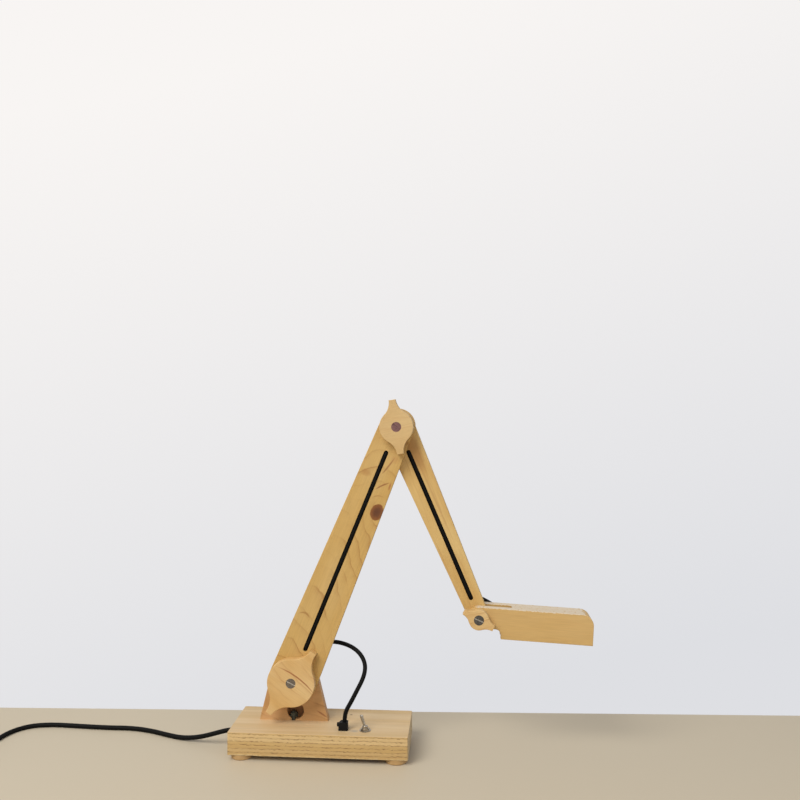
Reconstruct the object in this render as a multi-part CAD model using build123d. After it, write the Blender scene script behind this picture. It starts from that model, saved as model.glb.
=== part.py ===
from build123d import *
import math
import os

# A jointed wooden desk lamp: a plywood base, a bracket, two arms and a forked head, all clamped
# by wooden wing knobs, with a lead laid in grooves along the arms.
# X runs along the base, Y away from the front, Z up. The origin is the middle of the base's
# footprint, on the surface it stands on. All sizes are in millimetres.

# ---- driving dimensions -------------------------------------------------------------------

# board and layers: every plate is cut from one board, and the plates stack front to rear
PLATE = 8.9  # thickness of the board
PLAY = 0.1  # gap between two plates that turn on each other
LAYER = PLATE + PLAY  # pitch of the layers
SANDED = 0.6  # rounding of a sanded edge
SEAT = 0.05  # clearance of a piece in the hole or pocket that it is set in

# base
BASE_LENGTH = 189.6
BASE_WIDTH = 74.0
BASE_THICK = 24.0
BASE_CORNER = 1.5  # rounding of the upright edges
FOOT_DIA = 22.8
FOOT_HEIGHT = 5.5
FOOT_INSET_X = 13.0  # foot's middle from the end of the base
FOOT_INSET_Y = 11.6  # foot's middle from the side of the base
CAVITY_LENGTH = 52.0  # routed hollow that holds the driver and the switch
CAVITY_FROM_END = 32.8  # wood between the hollow and the base's right end
CAVITY_WALL = 8.5  # wood between the hollow and the base's sides
CAVITY_CORNER = 6.0
CAVITY_ROOF = 4.0  # wood left above the hollow
COVER_THICK = 3.0  # the cover lies in a rebate, flush with the underside
COVER_LIP = 6.0  # how far the cover laps over the hollow's ends
COVER_SIDE_LIP = 3.5  # how far it laps over the hollow's sides
COVER_CORNER = 4.0

# wood screws under the base
SCREW_DIA = 3.0
SCREW_HEAD_DIA = 5.6
SCREW_LENGTH = 12.0

# pivots, as the lamp stands: arm lengths are from pivot to pivot
SHOULDER_X = -31.5
SHOULDER_HEIGHT = 45.9  # above the base's top
LOWER_ARM = 295.5
LOWER_LEAN = 22.4  # degrees to the right of upright
UPPER_ARM = 220.0
UPPER_LEAN = 23.25  # degrees to the right of straight down
HEAD_DROP = 3.1  # degrees below level

# radii of the rounded ends
BRACKET_TOP_R = 25.4
LOWER_SHOULDER_R = 26.3
LOWER_ELBOW_R = 18.4
UPPER_ELBOW_R = 17.8
UPPER_ELBOW_SWELL_R = 19.2  # round swelling about the elbow
UPPER_HEAD_R = 10.8

# bracket
BRACKET_FOOT = 75.0  # width where it meets the base
TENON_LENGTH = 50.0
TENON_DEPTH = 7.0
RECESS_R = 9.25  # round recess for the nut
RECESS_X = 1.7  # recess's middle, to the right of the shoulder pivot
RECESS_WOOD = 1.2  # wood between the recess and the base's top
RECESS_DEPTH = 7.0
BOLT_LEFT = 2.3  # bolt's middle, to the left of the recess's middle
BRACKET_BOLT_DIA = 4.3
BRACKET_NUT_AF = 7.0
BRACKET_NUT_HEIGHT = 3.4
BRACKET_WASHER_DIA = 9.0
BRACKET_WASHER_THICK = 1.0
BRACKET_BOLT_HEAD_DIA = 8.4
BRACKET_BOLT_HEAD = 3.2
BOLT_STANDS_PROUD = 1.4  # thread above the nut

# head: a fork of two cheeks with a bar between them
HEAD_REACH = 120.2  # pivot to the outer end
HEAD_TOP = 11.5  # pivot to the top edge
HEAD_BOTTOM = 20.6  # pivot to the bottom edge
HEAD_NECK_LOW = 10.6  # pivot to the underside of the neck
HEAD_STEP = 24.2  # pivot to where the deep part starts
HEAD_STEP_R = 6.2
HEAD_CORNER_R = 12.0
FORK_DEPTH = 34.7  # pivot to the bar between the cheeks
BAR_DEPTH = 12.0  # height of the bar under the top edge
BAR_END = 9.0  # thickness of the bar where it closes the outer end
LED_INSET = 3.3  # light strip's start, past the bar's inner end
LED_END_GAP = 5.7  # light strip's end to the closed outer end
LED_WIDTH = 8.0
LED_THICK = 1.6
LED_COUNT = 11
LED_CHIP = (3.5, 2.8, 0.8)

# wing knobs: hub radius, reach of the ears and width of an ear's end, then the ears' tilt
SHOULDER_KNOB = (25.6, 40.7, 7.0)
ELBOW_KNOB = (18.0, 29.0, 7.2)
HEAD_KNOB = (10.6, 17.5, 6.3)
SHOULDER_KNOB_TILT = 53.5
ELBOW_KNOB_TILT = 99.0
HEAD_KNOB_TILT = 151.0

# pivot bolts: coach bolts from the rear into slotted sleeve nuts in the knobs
BOLT_DIA = 6.0
BOLT_RUN = 0.05  # radial clearance of a bolt in what turns on it
BOLT_HEAD_DIA = 15.0
BOLT_HEAD_RISE = 3.4
BOLT_NECK = 6.6  # side of the square neck
BOLT_NECK_LENGTH = 3.6
BOLT_END_GAP = 0.6  # room left in the sleeve nut past the bolt's end
SLEEVE_DIA = 10.5
SLEEVE_FLOOR = 2.6  # metal in front of the sleeve nut's bore
SLEEVE_BACK = 0.4  # how far the sleeve nut stops short of the knob's rear
SLOT_WIDTH = 1.2
SLOT_DEPTH = 1.3
SLOT_TILTS = (-27.0, -40.0, -23.0)  # shoulder, elbow, head

# lamp lead, laid in grooves
LEAD_DIA = 4.6
LEAD_FIT = 0.15  # clearance of the lead in its groove
LEAD_BEND = 5.0  # bend where it dives through a plate
LOWER_GROOVE = (34.7, 28.0)  # ends from the shoulder pivot and from the elbow pivot
UPPER_GROOVE = (28.0, 18.4)  # ends from the elbow pivot and from the head pivot
GROOVE_SHUT = 2.2  # how far the open part of a groove stops short of its ends
CHEEK_HOLE = (22.0, 0.0)  # hole in the rear cheek, along and above the head's axis

# cord grip on the base
GRIP_SIZE = (9.4, 8.0, 8.6)
GRIP_FROM_END = 69.3  # its middle from the base's right end
GRIP_INSET = 16.0  # its middle from the base's front
GRIP_BORE_X = 1.4  # lead's middle, to the right of the block's middle
GRIP_CHAMFER = 1.8
GRIP_SCREW_HEAD = (4.4, 2.0)
GRIP_SCREW_SHANK = (2.4, 2.2)
GRIP_SCREW_HEIGHT = 5.4

# toggle switch
SWITCH_FROM_END = 46.2  # its middle from the base's right end
SWITCH_INSET = 15.5  # its middle from the base's front
SWITCH_BODY = (13.0, 8.0, 10.0)
BUSHING_DIA = 6.0
BUSHING_RISE = 8.8  # above the switch's body
BUSHING_BORE_R = 2.3
BUSHING_LIP_R = 2.05
BUSHING_LIP = 0.4
SWITCH_WASHER = (12.0, 0.6)
SWITCH_NUT = (8.0, 2.0)
LEVER_BALL_R = 2.22
LEVER_LENGTH = 13.8  # from the middle of its ball
LEVER_ROOT_R = 1.3
LEVER_TIP_R = 1.75
LEVER_LEAN = 18.0  # degrees to the left of upright
LEVER_BELOW_MOUTH = 1.5  # ball's middle below the bushing's mouth
TERMINAL = (0.8, 2.2, 3.0)
TERMINAL_PITCH = 4.7

# driver
DRIVER_SIZE = (36.0, 24.0, 13.0)
DRIVER_GAP = 2.0  # from the hollow's right and rear walls
DRIVER_ROUND = 1.5

# mains cord
CORD_DIA = 5.0
CORD_EXIT_HEIGHT = 12.0  # above the base's underside
CORD_HOLE_FIT = 0.3
CORD_INSIDE_Y = 14.0  # where the drilled way opens into the hollow
CORD_STOP_DIA = 11.0
CORD_STOP_LENGTH = 6.0
WIRE_DIA = 1.6
WIRE_DROP = 2.2  # from the switch's tabs down to the wires' level run
WIRE_BEND = 1.6

# put-away coil of the mains cord, and its plug
COIL_MIDDLE = (-395.0, -50.0)
COIL_MEAN_R = 27.5
COIL_WIDE = 3  # turns side by side
COIL_HIGH = 3  # turns on top of each other
PLUG_LEAD = 24.0  # from the coil's last turn to the plug's sleeve
PLUG_SIZE = (34.0, 35.0, 13.7)  # along the pins, across them, thickness
PLUG_TIP_WIDTH = 26.0
PLUG_ROUND = 3.0
PIN_DIA = 4.0
PIN_LENGTH = 19.0
PIN_SPREAD = 19.0
PLUG_SLEEVE = (9.0, 6.2, 24.0)  # width at the plug, width at its tip, length

# ---- places that follow from them ---------------------------------------------------------

GRIP_X = BASE_LENGTH / 2 - GRIP_FROM_END
GRIP_Y = GRIP_INSET - BASE_WIDTH / 2
SWITCH_X = BASE_LENGTH / 2 - SWITCH_FROM_END
SWITCH_Y = SWITCH_INSET - BASE_WIDTH / 2
BASE_UNDER = FOOT_HEIGHT
BASE_TOP = BASE_UNDER + BASE_THICK
COVER_TOP = BASE_UNDER + COVER_THICK
CAVITY_TOP = BASE_TOP - CAVITY_ROOF
CAVITY_WIDTH = BASE_WIDTH - 2 * CAVITY_WALL
CAVITY_RIGHT = BASE_LENGTH / 2 - CAVITY_FROM_END
CAVITY_LEFT = CAVITY_RIGHT - CAVITY_LENGTH
CAVITY_MIDDLE = (CAVITY_LEFT + CAVITY_RIGHT) / 2
DRIVER_LEFT = CAVITY_RIGHT - DRIVER_GAP - DRIVER_SIZE[0]
DRIVER_FRONT = CAVITY_WIDTH / 2 - DRIVER_GAP - DRIVER_SIZE[1]
SHOULDER = (SHOULDER_X, BASE_TOP + SHOULDER_HEIGHT)


def stepped(point, length, degrees):
    """The point a length away from another in the XZ plane, at an angle above +X."""
    turn = math.radians(degrees)
    return (point[0] + length * math.cos(turn), point[1] + length * math.sin(turn))


LOWER_ANGLE = 90.0 - LOWER_LEAN
UPPER_ANGLE = UPPER_LEAN - 90.0
HEAD_ANGLE = -HEAD_DROP
ELBOW = stepped(SHOULDER, LOWER_ARM, LOWER_ANGLE)
HEAD = stepped(ELBOW, UPPER_ARM, UPPER_ANGLE)

# layers, front to rear: wing knobs, lower arm and front cheek, bracket and upper arm, rear cheek
KNOB_LAYER, FRONT_LAYER, MIDDLE_LAYER, REAR_LAYER = range(4)


def layer_front(layer):
    """Front plane of a layer: the middle two meet on the base's centre plane."""
    return (layer - 2) * LAYER + PLAY / 2


def layer_rear(layer):
    return layer_front(layer) + PLATE


# ---- helpers ------------------------------------------------------------------------------

STANDING = (Align.CENTER, Align.CENTER, Align.MIN)
HANGING = (Align.CENTER, Align.CENTER, Align.MAX)
LOWER_RIGHT = (Align.MIN, Align.MAX)


def plate(outline, front, thick):
    """A plate with its front face in the plane Y = front."""
    return extrude(Plane.XZ.offset(-front - thick) * outline, thick)


def sanded(board, radius=SANDED):
    """A plate with the edges of both faces rounded."""
    rims = board.edges().group_by(Axis.Y)
    return fillet(rims[0] + rims[-1], radius)


def at(pivot, degrees, shape):
    """An outline drawn along +X from its pivot, turned and moved to its place."""
    return Pos(pivot[0], pivot[1]) * Rot(0, 0, degrees) * shape


def pin(x, z, radius, front, rear):
    """A cylinder along Y."""
    return plate(Pos(x, z) * Circle(radius), front, rear - front)


def place(pivot, degrees, along, above, y):
    """A point given along and above an axis that leaves a pivot at an angle."""
    x, z = stepped(pivot, along, degrees)
    x, z = stepped((x, z), above, degrees + 90)
    return Vector(x, y, z)


def tapered_bar(length, start_r, end_r):
    """Outline of a bar with round ends of different radius, joined by their tangents."""
    lean = math.asin((start_r - end_r) / length)
    s, c = math.sin(lean), math.cos(lean)
    start_top = (start_r * s, start_r * c)
    start_low = (start_r * s, -start_r * c)
    end_top = (length + end_r * s, end_r * c)
    end_low = (length + end_r * s, -end_r * c)
    rim = Line(start_low, end_low)
    rim += ThreePointArc(end_low, (length + end_r, 0), end_top)
    rim += Line(end_top, start_top)
    rim += ThreePointArc(start_top, (-start_r, 0), start_low)
    return make_face(rim)


def wing_outline(hub_r, reach, end_width):
    """A round hub with two opposite ears. Each ear's flank is one hollow arc that is tangent to
    the hub and leaves the ear's end square to it."""
    half = end_width / 2
    flank_r = (half**2 + reach**2 - hub_r**2) / (2 * (hub_r - half))
    middle = Vector(reach, half + flank_r)
    meet = middle * (hub_r / (hub_r + flank_r))
    halfway = math.atan2(middle.Y - meet.Y, middle.X - meet.X) / 2
    bend = middle - Vector(math.sin(halfway), math.cos(halfway)) * flank_r
    rim = Line((reach, -half), (reach, half))
    rim += ThreePointArc((reach, half), (bend.X, bend.Y), (meet.X, meet.Y))
    rim += ThreePointArc((meet.X, meet.Y), (0, hub_r), (-meet.X, meet.Y))
    rim += ThreePointArc((-meet.X, meet.Y), (-bend.X, bend.Y), (-reach, half))
    rim += Line((-reach, half), (-reach, -half))
    rim += ThreePointArc((-reach, -half), (-bend.X, -bend.Y), (-meet.X, -meet.Y))
    rim += ThreePointArc((-meet.X, -meet.Y), (0, -hub_r), (meet.X, -meet.Y))
    rim += ThreePointArc((meet.X, -meet.Y), (bend.X, -bend.Y), (reach, -half))
    return make_face(rim)


def tube(path, dia):
    return sweep(Plane(origin=path @ 0, z_dir=path % 0) * Circle(dia / 2), path=path)


def shown(values):
    return ", ".join(f"{v:.0f}" for v in values)


def bend_radii(points):
    """The largest arc that each corner's two runs leave room for."""
    radii = []
    for before, here, after in zip(points, points[1:], points[2:]):
        turn = (here - before).get_angle(after - here)
        shorter = min((here - before).length, (after - here).length)
        radii.append(0.45 * shorter / math.tan(math.radians(turn / 2)))
    return radii


def cord(name, points, dia):
    """A cord's tube: straight runs joined by tangent arcs. Its radii and volume are printed."""
    route = [Vector(*p) for p in points]
    radii = bend_radii(route)
    path = FilletPolyline(*route, radius=radii)
    made = tube(path, dia)
    share = made.volume / (math.pi * dia**2 / 4 * path.length)
    print(f"{name}: length {path.length:.1f}, volume / (section x length) {share:.4f}, radii {shown(radii)}")
    return made


def screws(places, head_z, length, grow=0.0):
    """Countersunk wood screws driven upwards, heads flush with the plane Z = head_z. Grown by
    the seat's clearance they are the holes that the screws sit in."""
    head_r = SCREW_HEAD_DIA / 2 + grow
    shank_r = SCREW_DIA / 2 + grow
    neck = head_r - shank_r
    tip = length + grow
    half = Polygon(
        (0, 0), (head_r, 0), (shank_r, neck), (shank_r, tip - SCREW_DIA), (0, tip), align=None
    )
    one = revolve(Plane.XZ * half, Axis.Z)
    return [Pos(x, y, head_z) * one for x, y in places]


# ---- base ---------------------------------------------------------------------------------

FOOT_X = BASE_LENGTH / 2 - FOOT_INSET_X
FOOT_Y = BASE_WIDTH / 2 - FOOT_INSET_Y
FOOT_PLACES = {
    "front_left": (-FOOT_X, -FOOT_Y),
    "front_right": (FOOT_X, -FOOT_Y),
    "rear_left": (-FOOT_X, FOOT_Y),
    "rear_right": (FOOT_X, FOOT_Y),
}
FOOT_SCREW_SUNK = 1.2  # screw head above the foot's underside
COVER_LENGTH = CAVITY_LENGTH + 2 * COVER_LIP
COVER_WIDTH = CAVITY_WIDTH + 2 * COVER_SIDE_LIP
COVER_SCREW_X = CAVITY_LENGTH / 2 + COVER_LIP / 2
COVER_SCREW_Y = 0.36 * CAVITY_WIDTH
COVER_PLACES = [
    (CAVITY_MIDDLE + side * COVER_SCREW_X, end * COVER_SCREW_Y)
    for side in (-1, 1)
    for end in (-1, 1)
]
CORD_EXIT = Vector(-BASE_LENGTH / 2, 0, BASE_UNDER + CORD_EXIT_HEIGHT)
CORD_INSIDE = Vector(CAVITY_LEFT, CORD_INSIDE_Y, BASE_UNDER + CORD_EXIT_HEIGHT)
CORD_WAY = (CORD_EXIT - CORD_INSIDE).normalized()
LEAD_ENTRY = (GRIP_X + GRIP_BORE_X, GRIP_Y)

RECESS = (SHOULDER_X + RECESS_X, BASE_TOP + RECESS_WOOD + RECESS_R)
BOLT_SLOT = BRACKET_BOLT_DIA + 4 * SEAT
BOLT_X = RECESS[0] - BOLT_LEFT
BOLT_Y = layer_front(MIDDLE_LAYER) + BOLT_SLOT / 2
WASHER_SEAT = RECESS[1] - math.sqrt(RECESS_R**2 - (BRACKET_WASHER_DIA / 2 + BOLT_LEFT) ** 2)
BOLT_HEAD_TOP = BASE_UNDER + BRACKET_BOLT_HEAD + 1.0  # the head is sunk into the underside


def base_block():
    block = Box(BASE_LENGTH, BASE_WIDTH, BASE_THICK)
    block = Pos(0, 0, BASE_UNDER + BASE_THICK / 2) * block
    block = fillet(block.edges().filter_by(Axis.Z), BASE_CORNER)
    rims = block.edges().group_by(Axis.Z)
    block = fillet(rims[0] + rims[-1], SANDED)
    hollow = RectangleRounded(CAVITY_LENGTH, CAVITY_WIDTH, CAVITY_CORNER)
    block -= Pos(CAVITY_MIDDLE, 0, BASE_UNDER) * extrude(hollow, CAVITY_TOP - BASE_UNDER)
    rebate = RectangleRounded(COVER_LENGTH + 2 * SEAT, COVER_WIDTH + 2 * SEAT, COVER_CORNER + SEAT)
    block -= Pos(CAVITY_MIDDLE, 0, BASE_UNDER) * extrude(rebate, COVER_THICK)
    front = layer_front(MIDDLE_LAYER) - SEAT
    mortise = Box(TENON_LENGTH + 2 * SEAT, PLATE + 2 * SEAT, TENON_DEPTH + SEAT)
    block -= Pos(SHOULDER_X, front + PLATE / 2 + SEAT, BASE_TOP - (TENON_DEPTH + SEAT) / 2) * mortise
    way = Plane(origin=CORD_INSIDE - CORD_WAY, z_dir=CORD_WAY)
    drilled = Circle(CORD_DIA / 2 + CORD_HOLE_FIT)
    block -= extrude(way * drilled, (CORD_EXIT - CORD_INSIDE).length + 3)
    block -= Pos(*LEAD_ENTRY, BASE_TOP) * Cylinder(LEAD_DIA / 2 + LEAD_FIT, 4 * CAVITY_ROOF)
    block -= Pos(SWITCH_X, SWITCH_Y, BASE_TOP) * Cylinder(BUSHING_DIA / 2 + SEAT, 4 * CAVITY_ROOF)
    shank = Cylinder(BRACKET_BOLT_DIA / 2 + SEAT, 2 * BASE_THICK)
    block -= Pos(BOLT_X, BOLT_Y, BASE_TOP) * shank
    sunk = Cylinder(BRACKET_BOLT_HEAD_DIA / 2 + SEAT, 2 * (BOLT_HEAD_TOP - BASE_UNDER))
    block -= Pos(BOLT_X, BOLT_Y, BASE_UNDER) * sunk
    block -= screws(FOOT_PLACES.values(), FOOT_SCREW_SUNK, SCREW_LENGTH, SEAT)
    block -= screws(COVER_PLACES, BASE_UNDER, SCREW_LENGTH, SEAT)
    return block


def foot(name):
    x, y = FOOT_PLACES[name]
    disc = Pos(x, y, FOOT_HEIGHT / 2) * Cylinder(FOOT_DIA / 2, FOOT_HEIGHT)
    disc = fillet(disc.edges().group_by(Axis.Z)[0], 2 * SANDED)
    disc -= screws([(x, y)], FOOT_SCREW_SUNK, SCREW_LENGTH, SEAT)
    return disc - Pos(x, y, 0) * Cylinder(SCREW_HEAD_DIA / 2 + SEAT, 2 * FOOT_SCREW_SUNK)


def base_cover():
    sheet = extrude(RectangleRounded(COVER_LENGTH, COVER_WIDTH, COVER_CORNER), COVER_THICK)
    sheet = Pos(CAVITY_MIDDLE, 0, BASE_UNDER) * sheet
    return sheet - screws(COVER_PLACES, BASE_UNDER, SCREW_LENGTH, SEAT)


def bracket():
    # each side is the tangent from a corner of the foot to the round top
    half = BRACKET_FOOT / 2
    run = math.hypot(half, SHOULDER_HEIGHT)
    reach = math.sqrt(run**2 - BRACKET_TOP_R**2)
    rise = math.pi - math.atan2(SHOULDER_HEIGHT, half) - math.asin(BRACKET_TOP_R / run)
    touch = (half + reach * math.cos(rise), reach * math.sin(rise))
    top = (0, SHOULDER_HEIGHT + BRACKET_TOP_R)
    rim = Line((-half, 0), (half, 0))
    rim += Line((half, 0), touch)
    rim += ThreePointArc(touch, top, (-touch[0], touch[1]))
    rim += Line((-touch[0], touch[1]), (-half, 0))
    board = plate(Pos(SHOULDER_X, BASE_TOP) * make_face(rim), layer_front(MIDDLE_LAYER), PLATE)
    front = layer_front(MIDDLE_LAYER)
    tenon = Rectangle(TENON_LENGTH, TENON_DEPTH, align=(Align.CENTER, Align.MAX))
    board += plate(Pos(SHOULDER_X, BASE_TOP) * tenon, front, PLATE)
    board -= pin(*RECESS, RECESS_R, front - 1, front + RECESS_DEPTH)
    slot = Rectangle(BOLT_SLOT, RECESS[1] - BASE_TOP + TENON_DEPTH + 1, align=(Align.CENTER, Align.MAX))
    board -= plate(Pos(BOLT_X, RECESS[1]) * slot, front - 1, BOLT_SLOT + 1)
    board -= pin(*SHOULDER, BOLT_DIA / 2 + SEAT, front - 1, front + PLATE + 1)
    return board - bolt_neck(SHOULDER, layer_rear(MIDDLE_LAYER), SEAT)


def bracket_bolt():
    tip = WASHER_SEAT + BRACKET_WASHER_THICK + BRACKET_NUT_HEIGHT + BOLT_STANDS_PROUD
    shank = Cylinder(BRACKET_BOLT_DIA / 2, tip - BOLT_HEAD_TOP, align=STANDING)
    shank = chamfer(shank.edges().group_by(Axis.Z)[-1], 0.5)
    head = Cylinder(BRACKET_BOLT_HEAD_DIA / 2, BRACKET_BOLT_HEAD, align=HANGING)
    head = fillet(head.edges().group_by(Axis.Z)[0], 1.0)
    return Pos(BOLT_X, BOLT_Y, BOLT_HEAD_TOP) * (shank + head)


def ring(outer, inner_r, height):
    return extrude(outer - Circle(inner_r), height)


def bracket_washer():
    disc = ring(Circle(BRACKET_WASHER_DIA / 2), BRACKET_BOLT_DIA / 2 + SEAT, BRACKET_WASHER_THICK)
    # the washer is cut off flat where it would stand out of the plate
    front = layer_front(MIDDLE_LAYER)
    disc = Pos(BOLT_X, BOLT_Y, WASHER_SEAT) * disc
    return disc - Pos(BOLT_X, front - BRACKET_WASHER_DIA / 2, WASHER_SEAT) * Box(
        2 * BRACKET_WASHER_DIA, BRACKET_WASHER_DIA, 3 * BRACKET_WASHER_THICK
    )


def bracket_nut():
    hexagon = RegularPolygon(BRACKET_NUT_AF / 2, 6, major_radius=False)
    nut = ring(hexagon, BRACKET_BOLT_DIA / 2 + SEAT, BRACKET_NUT_HEIGHT)
    return Pos(BOLT_X, BOLT_Y, WASHER_SEAT + BRACKET_WASHER_THICK) * nut


# ---- pivot bolts, sleeve nuts and wing knobs ----------------------------------------------


def bolt_neck(pivot, rear, grow):
    """The coach bolt's square neck, in the rear of the plate that holds it."""
    side = BOLT_NECK + 2 * grow
    depth = BOLT_NECK_LENGTH + grow
    return plate(Pos(*pivot) * Rectangle(side, side), rear - depth, depth)


def coach_bolt(pivot, rear):
    """A bolt whose head lies on the rear face and whose end stops short inside the sleeve nut."""
    tip = layer_front(KNOB_LAYER) + SLEEVE_FLOOR + BOLT_END_GAP
    shank = pin(*pivot, BOLT_DIA / 2, tip, rear - BOLT_NECK_LENGTH)
    shank = chamfer(shank.edges().group_by(Axis.Y)[0], 0.6)
    half = BOLT_HEAD_DIA / 2
    dome_r = (half**2 + BOLT_HEAD_RISE**2) / (2 * BOLT_HEAD_RISE)
    dome = Pos(pivot[0], rear + BOLT_HEAD_RISE - dome_r, pivot[1]) * Sphere(dome_r)
    dome &= pin(*pivot, BOLT_HEAD_DIA, rear, rear + BOLT_HEAD_RISE + 1)
    return shank + bolt_neck(pivot, rear, 0) + dome


def sleeve_nut(pivot, slot_tilt):
    front = layer_front(KNOB_LAYER)
    barrel = pin(*pivot, SLEEVE_DIA / 2, front, layer_rear(KNOB_LAYER) - SLEEVE_BACK)
    barrel -= pin(*pivot, BOLT_DIA / 2 + BOLT_RUN, front + SLEEVE_FLOOR, layer_rear(KNOB_LAYER) + 1)
    slot = at(pivot, slot_tilt, Rectangle(2 * SLEEVE_DIA, SLOT_WIDTH))
    return barrel - plate(slot, front - 1, SLOT_DEPTH + 1)


def wing_knob(pivot, tilt, hub_r, reach, end_width):
    front = layer_front(KNOB_LAYER)
    board = plate(at(pivot, tilt, wing_outline(hub_r, reach, end_width)), front, PLATE)
    board = sanded(board)
    return board - pin(*pivot, SLEEVE_DIA / 2 + SEAT, front - 1, front + PLATE + 1)


# ---- arms ---------------------------------------------------------------------------------


def groove_path(pivot, degrees, length, groove, layer, over=0.0):
    """The lead's line along an arm: in from the rear, along the front, and out to the rear."""
    start, end = groove[0], length - groove[1]
    run_y = layer_front(layer) + LEAD_DIA / 2
    rear = layer_rear(layer) + over
    corners = [
        place(pivot, degrees, start, 0, rear),
        place(pivot, degrees, start, 0, run_y),
        place(pivot, degrees, end, 0, run_y),
        place(pivot, degrees, end, 0, rear),
    ]
    return FilletPolyline(*corners, radius=LEAD_BEND)


def grooved_lead(pivot, degrees, length, groove, layer):
    return tube(groove_path(pivot, degrees, length, groove, layer), LEAD_DIA)


def arm(pivot, degrees, length, outline, groove, layer):
    front = layer_front(layer)
    board = sanded(plate(at(pivot, degrees, outline), front, PLATE))
    way = LEAD_DIA + 2 * LEAD_FIT
    board -= tube(groove_path(pivot, degrees, length, groove, layer, over=1.0), way)
    run = length - groove[0] - groove[1]
    open_top = Pos(groove[0] + run / 2, 0) * SlotCenterToCenter(run - 2 * GROOVE_SHUT, way)
    return board - plate(at(pivot, degrees, open_top), front - 1, 1 + LEAD_DIA / 2)


def lower_arm():
    outline = tapered_bar(LOWER_ARM, LOWER_SHOULDER_R, LOWER_ELBOW_R)
    board = arm(SHOULDER, LOWER_ANGLE, LOWER_ARM, outline, LOWER_GROOVE, FRONT_LAYER)
    for pivot in (SHOULDER, ELBOW):
        board -= pin(*pivot, BOLT_DIA / 2 + BOLT_RUN, -2 * LAYER, LAYER)
    return board


def upper_arm():
    outline = tapered_bar(UPPER_ARM, UPPER_ELBOW_R, UPPER_HEAD_R) + Circle(UPPER_ELBOW_SWELL_R)
    board = arm(ELBOW, UPPER_ANGLE, UPPER_ARM, outline, UPPER_GROOVE, MIDDLE_LAYER)
    board -= pin(*ELBOW, BOLT_DIA / 2 + SEAT, -LAYER, 2 * LAYER)
    board -= pin(*HEAD, BOLT_DIA / 2 + BOLT_RUN, -LAYER, 2 * LAYER)
    return board - bolt_neck(ELBOW, layer_rear(MIDDLE_LAYER), SEAT)


# ---- head ---------------------------------------------------------------------------------


def corner_near(shape, x, y):
    return shape.vertices().sort_by_distance(Vector(x, y, 0))[0]


def head_outline():
    """Side view of the head, drawn from its pivot along +X."""
    depth = HEAD_TOP + HEAD_BOTTOM
    deep = Pos(HEAD_STEP, HEAD_TOP) * Rectangle(HEAD_REACH - HEAD_STEP, depth, align=LOWER_RIGHT)
    neck = Pos(0, HEAD_TOP) * Rectangle(HEAD_REACH / 2, HEAD_TOP + HEAD_NECK_LOW, align=LOWER_RIGHT)
    shape = deep + neck
    shape = fillet(corner_near(shape, HEAD_REACH, HEAD_TOP), HEAD_CORNER_R)
    shape = fillet(corner_near(shape, HEAD_STEP, -HEAD_NECK_LOW), HEAD_STEP_R)
    return shape + Circle(HEAD_TOP)


def head_cheek(layer):
    front = layer_front(layer)
    board = sanded(plate(at(HEAD, HEAD_ANGLE, head_outline()), front, PLATE))
    radius = BOLT_DIA / 2 + SEAT
    return board - pin(*HEAD, radius, front - 1, front + PLATE + 1)


def head_rear_cheek():
    board = head_cheek(REAR_LAYER) - bolt_neck(HEAD, layer_rear(REAR_LAYER), SEAT)
    hole = place(HEAD, HEAD_ANGLE, *CHEEK_HOLE, 0)
    radius = LEAD_DIA / 2 + LEAD_FIT
    return board - pin(hole.X, hole.Z, radius, layer_front(REAR_LAYER) - 1, layer_rear(REAR_LAYER) + 1)


def head_bar():
    """The bar between the cheeks: it closes the top and the outer end, and is open below."""
    wide = HEAD_REACH - FORK_DEPTH
    whole = Pos(FORK_DEPTH, HEAD_TOP) * Rectangle(wide, HEAD_TOP + HEAD_BOTTOM, align=LOWER_RIGHT)
    whole = fillet(corner_near(whole, HEAD_REACH, HEAD_TOP), HEAD_CORNER_R)
    hollow = Pos(FORK_DEPTH, HEAD_TOP - BAR_DEPTH) * Rectangle(
        wide - BAR_END, HEAD_TOP + HEAD_BOTTOM, align=LOWER_RIGHT
    )
    front = layer_rear(FRONT_LAYER)
    return plate(at(HEAD, HEAD_ANGLE, whole - hollow), front, layer_front(REAR_LAYER) - front)


LED_START = FORK_DEPTH + LED_INSET
LED_LENGTH = HEAD_REACH - BAR_END - LED_END_GAP - LED_START
LED_MIDDLE_Y = (layer_rear(FRONT_LAYER) + layer_front(REAR_LAYER)) / 2
BAR_UNDER = HEAD_TOP - BAR_DEPTH


def in_head(along, above, shape):
    """A shape drawn with its top face in Z = 0 and its length along X, under the head's bar."""
    where = place(HEAD, HEAD_ANGLE, along, above, LED_MIDDLE_Y)
    return Pos(where.X, where.Y, where.Z) * Rot(0, HEAD_DROP, 0) * shape


def led_board():
    strip = Box(LED_LENGTH, LED_WIDTH, LED_THICK, align=(Align.MIN, Align.CENTER, Align.MAX))
    return in_head(LED_START, BAR_UNDER, strip)


def led_chips():
    pitch = LED_LENGTH / LED_COUNT
    chip = Box(*LED_CHIP, align=HANGING)
    places = [LED_START + pitch * (i + 0.5) for i in range(LED_COUNT)]
    return Compound([in_head(along, BAR_UNDER - LED_THICK, chip) for along in places])


# ---- lamp lead ----------------------------------------------------------------------------

GRIP_TOP = BASE_TOP + GRIP_SIZE[2]


def groove_end(pivot, degrees, along, layer):
    return place(pivot, degrees, along, 0, layer_rear(layer))


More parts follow.
